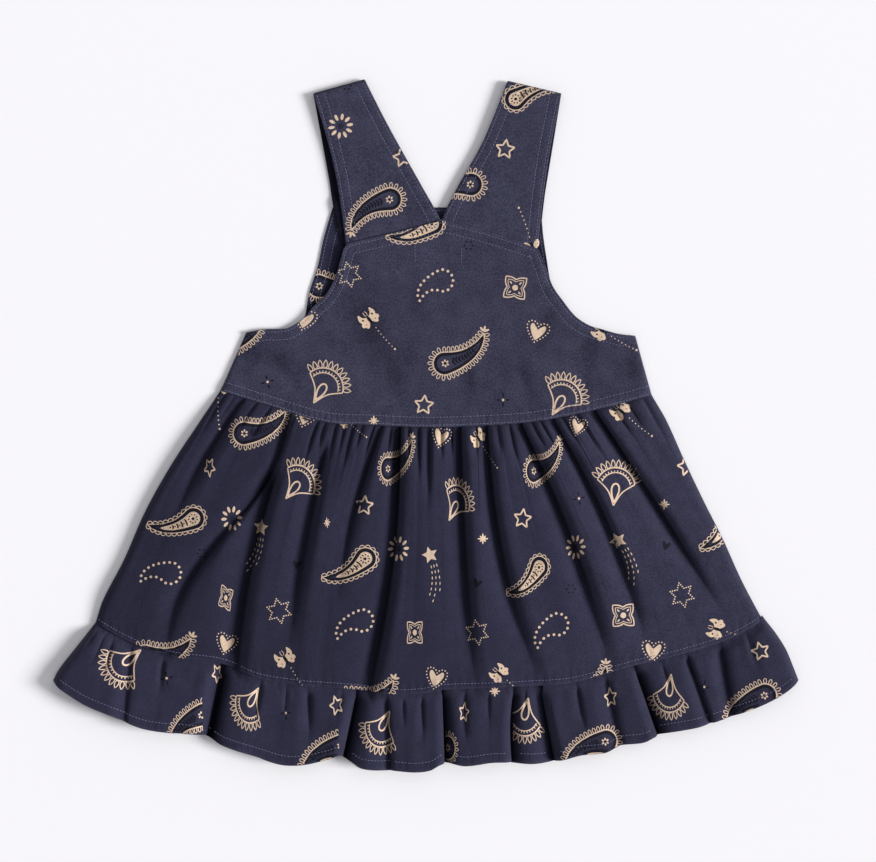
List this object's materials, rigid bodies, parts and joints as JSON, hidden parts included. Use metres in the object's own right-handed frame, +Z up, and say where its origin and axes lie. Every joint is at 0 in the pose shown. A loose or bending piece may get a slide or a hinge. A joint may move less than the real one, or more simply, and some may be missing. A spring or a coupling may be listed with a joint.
{
  "type": "pinafore dress laid flat",
  "caption": "Child's sleeveless cotton pinafore dress with wide straps, gathered skirt and ruffled hem, laid flat on its front with the back up",
  "frame": {"origin": "centre of the bounding box in plan, on the surface that the dress lies on", "axes": "+X across the dress to its right as seen from above, +Y from the hem to the straps, +Z up from the surface"},
  "size_m": [0.5219, 0.4833, 0.0079],
  "materials": {
    "twill": "matt navy cotton twill",
    "print": "matt cream pigment print",
    "print_dark": "matt dark pigment print",
    "thread": "slate blue sewing thread"
  },
  "bodies": {
    "root": {"back_bodice": "twill", "front_bodice": "twill", "strap_left": "twill", "strap_right": "twill", "skirt_back": "twill", "skirt_front": "twill", "ruffle_back": "twill", "ruffle_front": "twill"}
  },
  "joints": []
}
